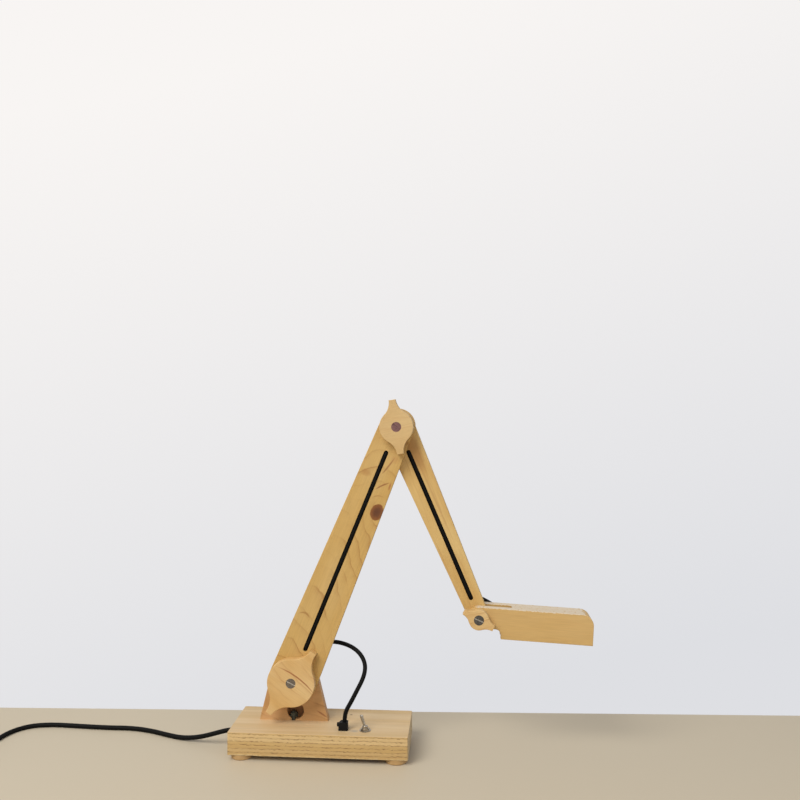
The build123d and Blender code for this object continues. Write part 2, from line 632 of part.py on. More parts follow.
LOWER_HOLE = groove_end(SHOULDER, LOWER_ANGLE, LOWER_GROOVE[0], FRONT_LAYER)
LOWER_TOP_HOLE = groove_end(SHOULDER, LOWER_ANGLE, LOWER_ARM - LOWER_GROOVE[1], FRONT_LAYER)
UPPER_TOP_HOLE = groove_end(ELBOW, UPPER_ANGLE, UPPER_GROOVE[0], MIDDLE_LAYER)
UPPER_HOLE = groove_end(ELBOW, UPPER_ANGLE, UPPER_ARM - UPPER_GROOVE[1], MIDDLE_LAYER)
HEAD_HOLE = place(HEAD, HEAD_ANGLE, *CHEEK_HOLE, layer_rear(REAR_LAYER))


def beyond(point, x, y, z):
    """A route's point, given from the hole that it leaves or enters."""
    return (point.X + x, point.Y + y, point.Z + z)


SHOULDER_LOOP = [
    (*LEAD_ENTRY, GRIP_TOP),
    (*LEAD_ENTRY, 47.0),
    (33.6, -19.7, 58.5),
    (39.6, -17.0, 70.0),
    (44.6, -13.0, 79.2),
    (47.0, -8.0, 86.8),
    (46.4, -2.5, 94.0),
    (41.2, 3.5, 101.6),
    (32.0, 9.5, 107.1),
    (20.4, 14.5, 110.0),
    (9.0, 18.0, 110.6),
    (-4.9, 19.4, 109.4),
    beyond(LOWER_HOLE, 4.6, 15.6, 0.2),
    beyond(LOWER_HOLE, 0, 8.6, 0),
    beyond(LOWER_HOLE, 0, 0, 0),
]

ELBOW_LOOP = [
    beyond(LOWER_TOP_HOLE, 0, 0, 0),
    beyond(LOWER_TOP_HOLE, 0, 16.2, 0),
    beyond(LOWER_TOP_HOLE, 4.4, 22.3, -2.5),
    beyond(LOWER_TOP_HOLE, 11.5, 24.6, -3.9),
    beyond(UPPER_TOP_HOLE, -4.4, 13.3, -2.4),
    beyond(UPPER_TOP_HOLE, 0, 7.3, 0),
    beyond(UPPER_TOP_HOLE, 0, 0, 0),
]

HEAD_LOOP = [
    beyond(UPPER_HOLE, 0, 0, 0),
    beyond(UPPER_HOLE, 0, 8.0, 0),
    (163.2, 24.2, 161.9),
    (167.8, 29.8, 159.6),
    (174.6, 33.2, 156.0),
    (182.0, 33.6, 151.8),
    (187.2, 30.6, 148.2),
    beyond(HEAD_HOLE, 0, 7.2, 0),
    beyond(HEAD_HOLE, 0, 0, 0),
]

LEAD_UNDER_BAR = BAR_UNDER - LEAD_DIA / 2 - 0.2  # height of the lead's middle where it meets the strip
INSIDE_HEAD = [
    beyond(HEAD_HOLE, 0, 0, 0),
    (HEAD_HOLE.X, LED_MIDDLE_Y, HEAD_HOLE.Z),
    tuple(place(HEAD, HEAD_ANGLE, LED_START - 4.6, LEAD_UNDER_BAR, LED_MIDDLE_Y)),
    tuple(place(HEAD, HEAD_ANGLE, LED_START, LEAD_UNDER_BAR, LED_MIDDLE_Y)),
]

INSIDE_BASE = [
    (*LEAD_ENTRY, BASE_TOP),
    (*LEAD_ENTRY, BASE_TOP - 6.5),
    (LEAD_ENTRY[0] + 0.5, GRIP_Y + 3.0, 17.8),
    (LEAD_ENTRY[0] + 1.1, GRIP_Y + 8.2, 14.8),
    (DRIVER_LEFT + 7.5, DRIVER_FRONT - 7.5, 14.6),
    (DRIVER_LEFT + 7.5, DRIVER_FRONT, 14.6),
]


# ---- cord grip ----------------------------------------------------------------------------


def cord_grip():
    block = Box(*GRIP_SIZE, align=STANDING)
    top_left = block.edges().filter_by(Axis.Y).group_by(Axis.Z)[-1].sort_by(Axis.X)[0]
    block = chamfer(top_left, GRIP_CHAMFER)
    block -= Pos(GRIP_BORE_X, 0, 0) * Cylinder(LEAD_DIA / 2 + SEAT, 4 * GRIP_SIZE[2])
    shank_r = GRIP_SCREW_SHANK[0] / 2 + SEAT
    way = Rot(0, 90, 0) * Cylinder(shank_r, 2 * GRIP_SCREW_SHANK[1])
    block -= Pos(-GRIP_SIZE[0] / 2, 0, GRIP_SCREW_HEIGHT) * way
    return Pos(GRIP_X, GRIP_Y, BASE_TOP) * block


def grip_screw():
    head = Cylinder(GRIP_SCREW_HEAD[0] / 2, GRIP_SCREW_HEAD[1], align=HANGING)
    head = fillet(head.edges().group_by(Axis.Z)[0], 0.6)
    shank = Cylinder(GRIP_SCREW_SHANK[0] / 2, GRIP_SCREW_SHANK[1], align=STANDING)
    left = Pos(GRIP_X - GRIP_SIZE[0] / 2, GRIP_Y, BASE_TOP + GRIP_SCREW_HEIGHT)
    return left * Rot(0, 90, 0) * (head + shank)


# ---- switch -------------------------------------------------------------------------------

SWITCH_SEAT = Pos(SWITCH_X, SWITCH_Y, CAVITY_TOP)
BUSHING_TOP = CAVITY_TOP + BUSHING_RISE
LEVER_PIVOT_Z = BUSHING_TOP - LEVER_BELOW_MOUTH


def switch_body():
    block = Box(*SWITCH_BODY, align=HANGING)
    return SWITCH_SEAT * fillet(block.edges().filter_by(Axis.Z), SANDED)


def switch_bushing():
    outer, bore, lip = BUSHING_DIA / 2, BUSHING_BORE_R, BUSHING_LIP_R
    half = Line((bore, 0), (outer, 0))
    half += Line((outer, 0), (outer, BUSHING_RISE))
    half += Line((outer, BUSHING_RISE), (lip, BUSHING_RISE))
    half += Line((lip, BUSHING_RISE), (lip, BUSHING_RISE - BUSHING_LIP))
    half += Line((lip, BUSHING_RISE - BUSHING_LIP), (bore, BUSHING_RISE - BUSHING_LIP))
    half += Line((bore, BUSHING_RISE - BUSHING_LIP), (bore, 0))
    tube_made = revolve(Plane.XZ * make_face(half), Axis.Z)
    return SWITCH_SEAT * tube_made


def switch_washer():
    disc = ring(Circle(SWITCH_WASHER[0] / 2), BUSHING_DIA / 2 + SEAT, SWITCH_WASHER[1])
    return Pos(SWITCH_X, SWITCH_Y, BASE_TOP) * disc


def switch_nut():
    hexagon = RegularPolygon(SWITCH_NUT[0] / 2, 6, major_radius=False)
    nut = ring(hexagon, BUSHING_DIA / 2 + SEAT, SWITCH_NUT[1])
    return Pos(SWITCH_X, SWITCH_Y, BASE_TOP + SWITCH_WASHER[1]) * Rot(0, 0, 12) * nut


def switch_lever():
    ball = Sphere(LEVER_BALL_R)
    stick = Cone(LEVER_ROOT_R, LEVER_TIP_R, LEVER_LENGTH, align=STANDING)
    stick = fillet(stick.edges().group_by(Axis.Z)[-1], 0.9 * LEVER_TIP_R)
    return Pos(SWITCH_X, SWITCH_Y, LEVER_PIVOT_Z) * Rot(0, -LEVER_LEAN, 0) * (ball + stick)


def switch_terminals():
    tab = Box(*TERMINAL, align=HANGING)
    row = Pos(SWITCH_X, SWITCH_Y, CAVITY_TOP - SWITCH_BODY[2])
    return Compound([row * Pos(side * TERMINAL_PITCH, 0, 0) * tab for side in (-1, 0, 1)])


def switch_wires():
    """Two wires from the switch's tabs to the driver."""
    tab_low = CAVITY_TOP - SWITCH_BODY[2] - TERMINAL[2]
    level = tab_low - WIRE_DROP
    wires = []
    for side in (0, 1):
        x = SWITCH_X + side * TERMINAL_PITCH
        corners = [(x, SWITCH_Y, tab_low), (x, SWITCH_Y, level), (x, DRIVER_FRONT, level)]
        wires.append(tube(FilletPolyline(*corners, radius=WIRE_BEND), WIRE_DIA))
    return Compound(wires)


def led_driver():
    case = Box(*DRIVER_SIZE, align=(Align.MIN, Align.MIN, Align.MIN))
    case = fillet(case.edges().filter_by(Axis.Z), DRIVER_ROUND)
    return Pos(DRIVER_LEFT, DRIVER_FRONT, COVER_TOP) * case


# ---- mains cord, coil and plug ------------------------------------------------------------

REST = CORD_DIA / 2 + 0.05  # height of the cord's middle where it lies


def along_way(distance):
    """A point on the drilled way's line, measured outwards from the base's end."""
    return tuple(CORD_EXIT + CORD_WAY * distance)


MAINS_ROUTE = [
    along_way(0),
    along_way(8),
    (-113.0, -1.0, 14.9),
    (-127.0, 1.0, 10.0),
    (-142.0, 5.0, 5.4),
    (-159.0, 9.8, REST),
    (-177.0, 16.0, REST),
    (-198.0, 25.5, REST),
    (-224.0, 32.3, REST),
    (-256.0, 31.3, REST),
    (-290.0, 33.6, REST),
    (-322.0, 35.5, REST),
    (-345.0, 29.5, REST),
    (-358.0, 12.5, REST),
    (-361.6, -9.0, REST),
    (COIL_MIDDLE[0] + COIL_MEAN_R + CORD_DIA, -30.0, REST),
    (COIL_MIDDLE[0] + COIL_MEAN_R + CORD_DIA, COIL_MIDDLE[1], REST),
]

CORD_TURN = CORD_STOP_LENGTH + 4.0  # where the cord turns square to the driver
MAINS_INSIDE = [
    along_way(0),
    tuple(CORD_INSIDE - CORD_WAY * CORD_TURN),
    (DRIVER_LEFT, CORD_INSIDE.Y - CORD_WAY.Y * CORD_TURN, CORD_INSIDE.Z),
]

COIL_OUTER_R = COIL_MEAN_R + COIL_WIDE * CORD_DIA / 2
COIL_LAST_Z = REST + CORD_DIA  # height of the turn that the plug's end leaves
PLUG_Z = PLUG_SIZE[2] / 2
PLUG_X = COIL_MIDDLE[0] - COIL_MEAN_R - CORD_DIA
PLUG_Y = COIL_MIDDLE[1] + PLUG_LEAD

PLUG_END = [
    (PLUG_X, COIL_MIDDLE[1], COIL_LAST_Z),
    (PLUG_X, COIL_MIDDLE[1] + PLUG_LEAD / 3, COIL_LAST_Z),
    (PLUG_X, PLUG_Y - PLUG_LEAD / 3, PLUG_Z),
    (PLUG_X, PLUG_Y, PLUG_Z),
]


def cord_stop():
    """A collar on the cord, just inside the hollow's wall."""
    collar = Circle(CORD_STOP_DIA / 2) - Circle(CORD_DIA / 2 + SEAT)
    start = CORD_INSIDE - CORD_WAY * (CORD_STOP_LENGTH + 2.0)
    return extrude(Plane(origin=start, z_dir=CORD_WAY) * collar, CORD_STOP_LENGTH)


def mains_coil():
    """Outer form of the wound turns. The cord comes in at its right and leaves at its left."""
    wide, high = COIL_WIDE * CORD_DIA, COIL_HIGH * CORD_DIA
    section = RectangleRounded(wide, high, 0.4 * CORD_DIA)
    turns = revolve(Plane.XZ * Pos(COIL_MEAN_R, REST + (high - CORD_DIA) / 2) * section, Axis.Z)
    way = CORD_DIA + 4 * SEAT
    inner = COIL_MEAN_R + CORD_DIA - way / 2
    notch = Box(2 * way, COIL_OUTER_R, 2 * way, align=(Align.MIN, Align.MIN, Align.CENTER))
    turns -= Pos(inner, 0, REST - way / 2) * notch
    # the notch is deeper than the cord, which sinks towards the plug inside it
    deep = way + 2 * (COIL_LAST_Z - PLUG_Z)
    side_notch = Box(2 * way, COIL_OUTER_R, deep, align=(Align.MAX, Align.MIN, Align.CENTER))
    turns -= Pos(-inner, 0, COIL_LAST_Z) * side_notch
    return Pos(*COIL_MIDDLE, 0) * turns


def plug_place():
    """The plug lies flat beside the coil, its cord end towards the coil's last turn."""
    return Pos(PLUG_X, PLUG_Y + PLUG_SLEEVE[2], PLUG_Z) * Rot(0, 0, -90)


def plug_body():
    long, wide, thick = PLUG_SIZE
    half, tip = wide / 2, PLUG_TIP_WIDTH / 2
    corners = [(0, -tip), (0, tip), (-long / 2, half), (-long, half), (-long, -half), (-long / 2, -half)]
    outline = Polygon(*corners, align=None)
    outline = fillet(outline.vertices(), PLUG_ROUND)
    body = Pos(0, 0, -thick / 2) * extrude(outline, thick)
    rims = body.edges().group_by(Axis.Z)
    body = fillet(rims[0] + rims[-1], 0.7 * PLUG_ROUND)
    root, end, length = PLUG_SLEEVE
    sleeve = Cone(root / 2, end / 2, length, align=STANDING)
    return plug_place() * (body + Rot(0, 90, 0) * sleeve)


def plug_pins():
    rod = Rot(0, -90, 0) * Cylinder(PIN_DIA / 2, PIN_LENGTH, align=STANDING)
    rod = fillet(rod.edges().group_by(Axis.X)[0], 0.4 * PIN_DIA)
    spread = [Pos(-PLUG_SIZE[0], side * PIN_SPREAD / 2, 0) * rod for side in (-1, 1)]
    return Compound([plug_place() * one for one in spread])


# ---- all nodes ----------------------------------------------------------------------------

NODES = {
    "base_block": base_block(),
    "base_cover": base_cover(),
    "cover_screws": Compound(screws(COVER_PLACES, BASE_UNDER, SCREW_LENGTH)),
    "foot_screws": Compound(screws(FOOT_PLACES.values(), FOOT_SCREW_SUNK, SCREW_LENGTH)),
    "bracket": bracket(),
    "bracket_bolt": bracket_bolt(),
    "bracket_washer": bracket_washer(),
    "bracket_nut": bracket_nut(),
    "shoulder_bolt": coach_bolt(SHOULDER, layer_rear(MIDDLE_LAYER)),
    "elbow_bolt": coach_bolt(ELBOW, layer_rear(MIDDLE_LAYER)),
    "head_bolt": coach_bolt(HEAD, layer_rear(REAR_LAYER)),
    "shoulder_knob": wing_knob(SHOULDER, SHOULDER_KNOB_TILT, *SHOULDER_KNOB),
    "elbow_knob": wing_knob(ELBOW, ELBOW_KNOB_TILT, *ELBOW_KNOB),
    "head_knob": wing_knob(HEAD, HEAD_KNOB_TILT, *HEAD_KNOB),
    "shoulder_sleeve_nut": sleeve_nut(SHOULDER, SLOT_TILTS[0]),
    "elbow_sleeve_nut": sleeve_nut(ELBOW, SLOT_TILTS[1]),
    "head_sleeve_nut": sleeve_nut(HEAD, SLOT_TILTS[2]),
    "lower_arm": lower_arm(),
    "upper_arm": upper_arm(),
    "head_front_cheek": head_cheek(FRONT_LAYER),
    "head_rear_cheek": head_rear_cheek(),
    "head_bar": head_bar(),
    "led_board": led_board(),
    "led_chips": led_chips(),
    "cord_grip": cord_grip(),
    "cord_grip_screw": grip_screw(),
    "switch_body": switch_body(),
    "switch_bushing": switch_bushing(),
    "switch_washer": switch_washer(),
    "switch_nut": switch_nut(),
    "switch_lever": switch_lever(),
    "switch_terminals": switch_terminals(),
    "switch_wires": switch_wires(),
    "led_driver": led_driver(),
    "cord_stop": cord_stop(),
    "lead_shoulder_loop": cord("lead_shoulder_loop", SHOULDER_LOOP, LEAD_DIA),
    "lead_lower_arm": grooved_lead(SHOULDER, LOWER_ANGLE, LOWER_ARM, LOWER_GROOVE, FRONT_LAYER),
    "lead_elbow_loop": cord("lead_elbow_loop", ELBOW_LOOP, LEAD_DIA),
    "lead_upper_arm": grooved_lead(ELBOW, UPPER_ANGLE, UPPER_ARM, UPPER_GROOVE, MIDDLE_LAYER),
    "lead_head_loop": cord("lead_head_loop", HEAD_LOOP, LEAD_DIA),
    "lead_in_head": cord("lead_in_head", INSIDE_HEAD, LEAD_DIA),
    "lead_in_base": cord("lead_in_base", INSIDE_BASE, LEAD_DIA),
    "mains_cord": cord("mains_cord", MAINS_ROUTE, CORD_DIA),
    "mains_cord_inside": cord("mains_cord_inside", MAINS_INSIDE, CORD_DIA),
    "mains_coil": mains_coil(),
    "mains_cord_plug_end": cord("mains_cord_plug_end", PLUG_END, CORD_DIA),
    "plug_body": plug_body(),
    "plug_pins": plug_pins(),
}
for foot_name in FOOT_PLACES:
    NODES[f"foot_{foot_name}"] = foot(foot_name)

os.makedirs("parts", exist_ok=True)
for node_name, shape in NODES.items():
    export_step(shape, f"parts/{node_name}.step")
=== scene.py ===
import math

import bpy
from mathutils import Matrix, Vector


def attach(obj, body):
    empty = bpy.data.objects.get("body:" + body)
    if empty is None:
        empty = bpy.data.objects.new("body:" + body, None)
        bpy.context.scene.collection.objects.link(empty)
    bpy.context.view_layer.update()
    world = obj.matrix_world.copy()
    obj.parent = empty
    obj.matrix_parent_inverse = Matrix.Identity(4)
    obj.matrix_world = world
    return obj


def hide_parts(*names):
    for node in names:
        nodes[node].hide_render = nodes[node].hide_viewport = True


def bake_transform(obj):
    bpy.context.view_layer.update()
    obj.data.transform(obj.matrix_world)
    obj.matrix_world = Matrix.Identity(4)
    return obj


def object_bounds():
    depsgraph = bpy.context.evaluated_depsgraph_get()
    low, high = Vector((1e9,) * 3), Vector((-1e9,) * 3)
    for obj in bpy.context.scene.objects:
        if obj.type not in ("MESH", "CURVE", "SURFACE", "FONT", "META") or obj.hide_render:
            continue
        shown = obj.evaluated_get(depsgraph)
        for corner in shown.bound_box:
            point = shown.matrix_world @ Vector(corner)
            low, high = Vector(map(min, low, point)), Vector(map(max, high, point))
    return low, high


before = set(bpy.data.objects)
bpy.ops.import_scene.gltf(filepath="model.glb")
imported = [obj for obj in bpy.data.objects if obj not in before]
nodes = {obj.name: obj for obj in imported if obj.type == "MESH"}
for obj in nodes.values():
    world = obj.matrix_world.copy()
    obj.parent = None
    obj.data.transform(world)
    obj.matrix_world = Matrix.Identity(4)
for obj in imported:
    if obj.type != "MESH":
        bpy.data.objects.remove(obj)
cad_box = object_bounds()
bpy.context.scene.view_settings.view_transform = "Standard"

# ---- camera ------------------------------------------------------------------------------
# A level camera as high as the elbow, turned four degrees to the left.
lens = bpy.data.cameras.new("desk_view")
lens.lens = 36.9
lens.sensor_width = 36.0
desk_view = bpy.data.objects.new("desk_view", lens)
desk_view.location = (0.1484, -0.8789, 0.377)
desk_view.rotation_euler = (math.radians(90), 0, math.radians(4.2))
bpy.context.scene.collection.objects.link(desk_view)
bpy.context.scene.camera = desk_view


# ---- mains cord --------------------------------------------------------------------------
# Round two-core cord, 5 mm, in a black PVC jacket. It leaves the base's left end level, drops
# to the table and runs off to the left, where the rest is wound into a neat coil of 8.5 turns
# in three layers of three. The plug lies beside the coil.
def hexed(code):
    """An sRGB hex colour as linear values."""
    parts = [int(code[i:i + 2], 16) / 255 for i in (0, 2, 4)]
    return (*[c / 12.92 if c <= 0.04045 else ((c + 0.055) / 1.055) ** 2.4 for c in parts], 1.0)


def grey(value):
    """A grey for a ramp that works as a mask."""
    return (value, value, value, 1.0)


def add(tree, kind, inputs, stops=(), **settings):
    """Adds one node. Its inputs are values or other nodes' outputs, by name or number."""
    made = tree.nodes.new("ShaderNode" + kind)
    for name, value in settings.items():
        setattr(made, name, value)
    for key, value in inputs.items():
        if isinstance(value, bpy.types.NodeSocket):
            tree.links.new(value, made.inputs[key])
        else:
            made.inputs[key].default_value = value
    for i, (where, colour) in enumerate(stops):
        if i > 1:
            made.color_ramp.elements.new(where)
        made.color_ramp.elements[i].position = where
        made.color_ramp.elements[i].color = colour
    return made


in_mm = (0.001,) * 3  # the scale of a texture mapping that gives millimetres


def material_named(name):
    """A new material with its node tree and shader."""
    made = bpy.data.materials.new(name)
    made.use_nodes = True
    return made, made.node_tree, made.node_tree.nodes["Principled BSDF"]


def dress(material, *names):
    """Gives CAD nodes their material."""
    for name in names:
        nodes[name].data.materials.clear()
        nodes[name].data.materials.append(material)


def spline(name, points, diameter):
    """A cord: one open NURBS spline through the air or along the table, in millimetres."""
    curve = bpy.data.curves.new(name, "CURVE")
    curve.dimensions = "3D"
    run = curve.splines.new("NURBS")
    run.points.add(len(points) - 1)
    for point, (x, y, z) in zip(run.points, points):
        point.co = (x / 1000, y / 1000, z / 1000, 1)
        point.radius = diameter / 2000
    run.order_u = 3
    run.use_endpoint_u = True
    run.resolution_u = 12
    curve.bevel_depth = 1.0  # times each point's radius
    curve.bevel_resolution = 6
    curve.use_fill_caps = True
    made = bpy.data.objects.new(name, curve)
    bpy.context.scene.collection.objects.link(made)
    return made


cord_d = 5.0
lies = cord_d / 2 + 0.05  # height of its middle where it lies
mains_points = [
    (-94.8, 0.0, 17.5),
    (-102.73, -1.06, 17.5),
    (-113.0, -1.0, 14.9),
    (-127.0, 1.0, 10.0),
    (-142.0, 5.0, 5.4),
    (-159.0, 9.8, lies),
    (-177.0, 16.0, lies),
    (-198.0, 25.5, lies),
    (-224.0, 32.3, lies),
    (-256.0, 31.3, lies),
    (-290.0, 33.6, lies),
    (-322.0, 35.5, lies),
    (-345.0, 29.5, lies),
    (-358.0, 12.5, lies),
    (-361.6, -9.0, lies),
    (-362.5, -30.0, lies),
]
# the coil's turns, each as its ring's radius and its layer. The cord steps over to the next in
# the last part of a turn.
turns = [
    (32.5, 0), (27.5, 0), (22.5, 0), (22.5, 1), (22.5, 2), (27.5, 2), (32.5, 2), (27.5, 1), (32.5, 1),
]
coil_x, coil_y = -395, -50
coil_turns = 8.5
last = len(turns) - 1
steady = 0.7  # part of a turn before the cord steps over
per_turn = 16
# a spline of order 3 runs inside its points by this much on a circle
outward = 4 / (3 + math.cos(2 * math.pi / per_turn))
for step in range(int(coil_turns * per_turn) + 1):
    turn, part = divmod(step / per_turn, 1)
    ring, layer = turns[int(turn)]
    after, next_layer = turns[min(int(turn) + 1, last)]
    if turn < last:
        over = max(0.0, (part - steady) / (1 - steady))
        over = over * over * (3 - 2 * over)
        ring += (after - ring) * over
        layer += (next_layer - layer) * over
    angle = -2 * math.pi * part
    mains_points.append((
        coil_x + outward * ring * math.cos(angle),
        coil_y + outward * ring * math.sin(angle),
        lies + layer * cord_d,
    ))
mains_points += [(-427.5, -42.0, 7.55), (-427.5, -34.0, 6.85), (-427.5, -26.0, 6.85)]
mains = spline("mains_cord_run", mains_points, cord_d)
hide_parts("mains_cord", "mains_coil", "mains_cord_plug_end")
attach(mains, "base")

# black PVC jacket, extruded: a dull black with faint dust and soft drawn-out unevenness
pvc, tree, shader = material_named("extruded_black_pvc_jacket")
place = add(tree, "TexCoord", {}).outputs["Object"]
dust = add(tree, "TexNoise", {"Vector": place, "Scale": 90.0, "Detail": 4.0}).outputs[0]
tint = add(tree, "ValToRGB", {0: dust}, stops=[(0.35, hexed("040404")), (0.8, hexed("0a0a09"))])
rough = add(tree, "MapRange", {0: dust, 1: 0.3, 2: 0.7, 3: 0.55, 4: 0.7}).outputs[0]
skin = add(tree, "TexNoise", {"Vector": place, "Scale": 900.0, "Detail": 2.0}).outputs[0]
bump = add(tree, "Bump", {"Strength": 0.12, "Distance": 0.0001, "Height": skin})
tree.links.new(tint.outputs[0], shader.inputs["Base Color"])
tree.links.new(rough, shader.inputs["Roughness"])
tree.links.new(bump.outputs[0], shader.inputs["Normal"])
shader.inputs["Specular IOR Level"].default_value = 0.12
mains.data.materials.append(pvc)
dress(pvc, "mains_cord_inside")


# ---- lamp lead ---------------------------------------------------------------------------
# The lamp's thinner lead, 4.6 mm, black PVC too. It lies in the arms' grooves and hangs free in
# a loop at each of the three pivots, where it bends as the joint moves.
lead_d = 4.6


def loop(name, points, node):
    """A free loop of the lead, as a tube. Points are in mm, the rest in metres."""
    line = spline(name + "_line", points, lead_d)
    solid = bpy.data.meshes.new_from_object(line)
    line.data.bevel_depth = 0
    path = [v.co.copy() for v in bpy.data.meshes.new_from_object(line).vertices]
    bpy.data.objects.remove(line)
    made = bpy.data.objects.new(name, solid)
    bpy.context.scene.collection.objects.link(made)
    solid.materials.append(pvc)
    solid.shade_smooth()
    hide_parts(node)
    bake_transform(made)


loop("shoulder_loop", [
    (26.9, -21.0, 38.1),
    (26.9, -21.0, 47.0),
    (33.6, -19.7, 58.5),
    (39.6, -17.0, 70.0),
    (44.6, -13.0, 79.2),
    (47.0, -8.0, 86.8),
    (46.4, -2.5, 94.0),
    (41.2, 3.5, 101.6),
    (32.0, 9.5, 107.1),
    (20.4, 14.5, 110.0),
    (9.0, 18.0, 110.6),
    (-4.9, 19.4, 109.4),
    (-13.68, 15.55, 107.68),
    (-18.28, 8.55, 107.48),
    (-18.28, -0.05, 107.48),
], "lead_shoulder_loop")

loop("elbow_loop", [
    (70.44, -0.05, 322.72),
    (70.44, 16.15, 322.72),
    (74.84, 22.25, 320.22),
    (81.94, 24.55, 318.82),
    (87.76, 22.25, 320.48),
    (92.16, 16.25, 322.88),
    (92.16, 8.95, 322.88),
], "lead_elbow_loop")

loop("head_loop", [
    (160.69, 8.95, 163.38),
    (160.69, 16.95, 163.38),
    (163.2, 24.2, 161.9),
    (167.8, 29.8, 159.6),
    (174.6, 33.2, 156.0),
    (182.0, 33.6, 151.8),
    (187.2, 30.6, 148.2),
    (189.92, 25.15, 145.28),
    (189.92, 17.95, 145.28),
], "lead_head_loop")
dress(pvc, "lead_lower_arm", "lead_upper_arm", "lead_in_head", "lead_in_base")


# ---- plug --------------------------------------------------------------------------------
# A moulded two-pin plug with a tapered sleeve, black PVC with a finely eroded surface, and
# nickel-plated brass pins.
moulded, tree, shader = material_named("eroded_black_moulded_plastic")
place = add(tree, "TexCoord", {}).outputs["Object"]
grit = add(tree, "TexNoise", {"Vector": place, "Scale": 2500.0, "Detail": 1.0}).outputs[0]
cloud = add(tree, "TexNoise", {"Vector": place, "Scale": 120.0, "Detail": 3.0}).outputs[0]
tint = add(tree, "ValToRGB", {0: cloud}, stops=[(0.3, hexed("050505")), (0.8, hexed("0d0c0c"))])
bump = add(tree, "Bump", {"Strength": 0.35, "Distance": 0.0001, "Height": grit})
tree.links.new(tint.outputs[0], shader.inputs["Base Color"])
tree.links.new(bump.outputs[0], shader.inputs["Normal"])
shader.inputs["Roughness"].default_value = 0.62
shader.inputs["Specular IOR Level"].default_value = 0.2
dress(moulded, "plug_body", "cord_grip", "cord_grip_screw", "cord_stop")

# nickel plate: a warm bright metal with faint buffing marks
nickel, tree, shader = material_named("nickel_plated_brass")
place = add(tree, "TexCoord", {}).outputs["Object"]
marks = add(tree, "TexNoise", {"Vector": place, "Scale": 700.0, "Detail": 5.0}).outputs[0]
tint = add(tree, "ValToRGB", {0: marks}, stops=[(0.3, hexed("928a7e")), (0.7, hexed("bbb4a8"))])
rough = add(tree, "MapRange", {0: marks, 1: 0.3, 2: 0.7, 3: 0.26, 4: 0.42}).outputs[0]
tree.links.new(tint.outputs[0], shader.inputs["Base Color"])
tree.links.new(rough, shader.inputs["Roughness"])
shader.inputs["Metallic"].default_value = 1.0
dress(nickel, "plug_pins", "switch_washer", "switch_nut", "switch_lever", "switch_bushing",
      "switch_terminals")


# ---- base --------------------------------------------------------------------------------
# A block sawn from 24 mm birch plywood of seven plies, sanded and left clear. The saw has torn
# the cross plies, so dark ragged lines with small pits run along its edges.
base_under = 0.0055  # metres, the block's underside
base_top, right_end = 24.0, 94.8  # mm, from the underside and from the middle
ply_thick = 3.8
first_joint = 6.2  # puts the lowest joint 3.6 mm up
birch, tree, shader = material_named("sawn_birch_plywood")
place = add(tree, "TexCoord", {}).outputs["Object"]
mm = add(tree, "Mapping", {"Vector": place, "Location": (0, 0, base_under), "Scale": in_mm},
         vector_type="TEXTURE").outputs[0]
xyz = add(tree, "SeparateXYZ", {0: mm})
# the joints between the plies wander by about half a millimetre
wander = add(tree, "TexNoise", {"Vector": mm, "Scale": 0.035, "Detail": 3.0}).outputs[0]
chatter = add(tree, "TexNoise", {"Vector": mm, "Scale": 0.3, "Detail": 3.0}).outputs[0]
high = add(tree, "Math", {0: wander, 1: 2.2, 2: xyz.outputs[2]}, operation="MULTIPLY_ADD").outputs[0]
high = add(tree, "Math", {0: chatter, 1: 3.0, 2: high}, operation="MULTIPLY_ADD").outputs[0]
high = add(tree, "Math", {0: high, 1: first_joint}, operation="SUBTRACT").outputs[0]
ply = add(tree, "Math", {0: high, 1: ply_thick}, operation="DIVIDE").outputs[0]
inside = add(tree, "Math", {0: ply}, operation="FRACT").outputs[0]
joint = add(tree, "ValToRGB", {0: inside}, stops=[
    (0.0, grey(1)), (0.08, grey(0.6)), (0.16, grey(0)), (0.84, grey(0)), (0.94, grey(1)),
]).outputs[0]
# the lines come and go along the edge, and stop at the sanded faces
sawn = add(tree, "MapRange", {
    0: xyz.outputs[2], 1: base_top - 0.45, 2: base_top - 0.1, 3: 1.0, 4: 0.0,
}).outputs[0]
torn = add(tree, "Mapping", {"Vector": mm, "Scale": (0.11, 0.11, 0.4)}).outputs[0]
torn = add(tree, "TexNoise", {"Vector": torn, "Scale": 1.0, "Detail": 5.0, "Roughness": 0.75}).outputs[0]
broken = add(tree, "MapRange", {0: torn, 1: 0.41, 2: 0.6, 3: 0.12, 4: 0.82}).outputs[0]
line = add(tree, "Math", {0: joint, 1: broken}, operation="MULTIPLY").outputs[0]
line = add(tree, "Math", {0: line, 1: sawn}, operation="MULTIPLY").outputs[0]
# pits where the saw pulled fibres out beside a joint
pits = add(tree, "Mapping", {"Vector": mm, "Scale": (0.35, 0.35, 0.9)}).outputs[0]
pits = add(tree, "TexNoise", {"Vector": pits, "Scale": 1.0, "Detail": 4.0, "Roughness": 0.7}).outputs[0]
pits = add(tree, "MapRange", {0: pits, 1: 0.59, 2: 0.66, 3: 0.0, 4: 1.0}).outputs[0]
beside = add(tree, "ValToRGB", {0: inside}, stops=[
    (0.0, grey(1)), (0.22, grey(0.6)), (0.34, grey(0)), (0.8, grey(0)), (0.95, grey(1)),
]).outputs[0]
pits = add(tree, "Math", {0: pits, 1: beside}, operation="MULTIPLY").outputs[0]
pits = add(tree, "Math", {0: pits, 1: sawn}, operation="MULTIPLY").outputs[0]
fibre = add(tree, "Mapping", {"Vector": mm, "Scale": (0.02, 0.9, 0.9)}).outputs[0]
fibre = add(tree, "TexNoise", {"Vector": fibre, "Scale": 1.0, "Detail": 5.0, "Roughness": 0.6}).outputs[0]
